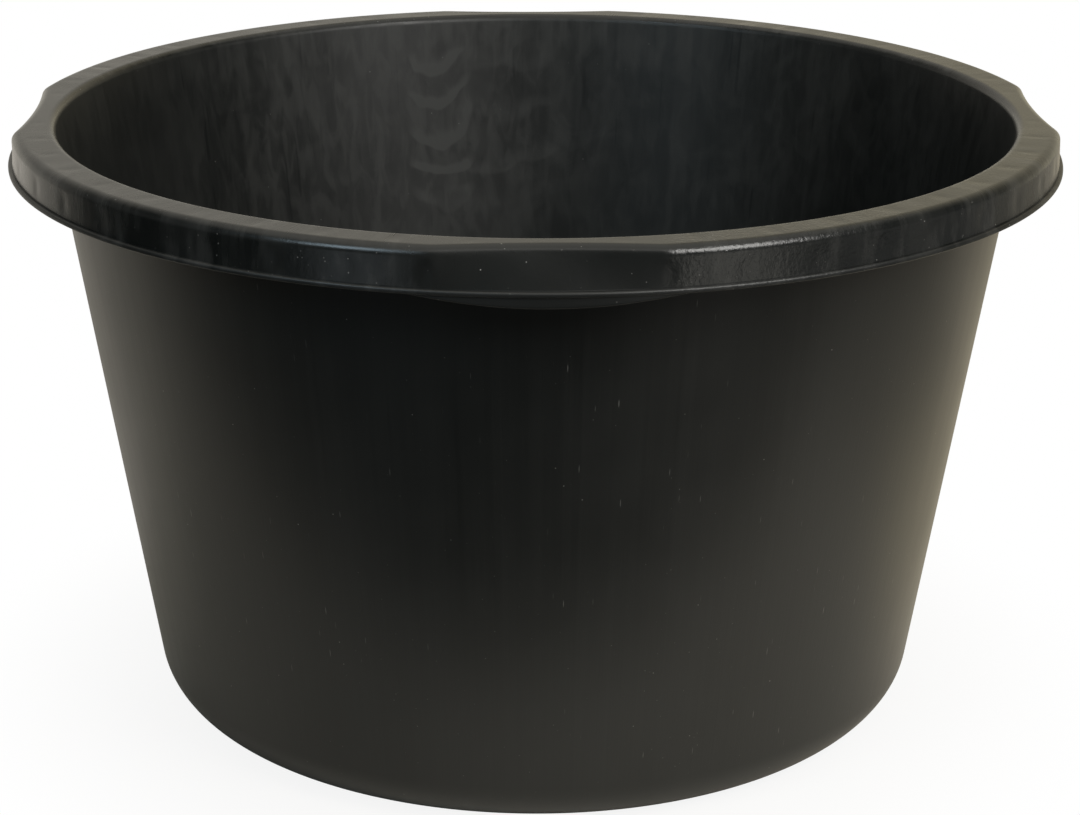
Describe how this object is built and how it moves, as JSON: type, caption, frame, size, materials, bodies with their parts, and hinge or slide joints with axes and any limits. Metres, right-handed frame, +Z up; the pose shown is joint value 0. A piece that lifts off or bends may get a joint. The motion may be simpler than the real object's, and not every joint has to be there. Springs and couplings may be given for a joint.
{
  "type": "mortar tub",
  "caption": "Round tapered plastic mortar tub with a rounded heel and a deep turned-down rim, set in on each side as a grip, with a lip, lugs and ribs under the rim.",
  "frame": {"origin": "centre of the base, on the floor that the tub stands on", "axes": "+Z up along the tub's axis, grips on +X, +Y, -X and -Y, the front grip on -Y"},
  "size_m": [0.6699, 0.67, 0.388],
  "materials": {
    "black_plastic": "satin black recycled polyethylene, lightly scuffed"
  },
  "bodies": {
    "root": {"floor_panel": "black_plastic", "heel_ring": "black_plastic", "side_wall": "black_plastic", "rim_land": "black_plastic", "rim_lip": "black_plastic", "grip_right": "black_plastic", "grip_back": "black_plastic", "grip_left": "black_plastic", "grip_front": "black_plastic", "lug_right": "black_plastic", "lug_back": "black_plastic", "lug_left": "black_plastic", "lug_front": "black_plastic", "rim_skirt_back_right": "black_plastic", "rim_skirt_back_left": "black_plastic", "rim_skirt_front_left": "black_plastic", "rim_skirt_front_right": "black_plastic", "rim_ribs_back_right": "black_plastic", "rim_ribs_back_left": "black_plastic", "rim_ribs_front_left": "black_plastic", "rim_ribs_front_right": "black_plastic"}
  },
  "joints": []
}
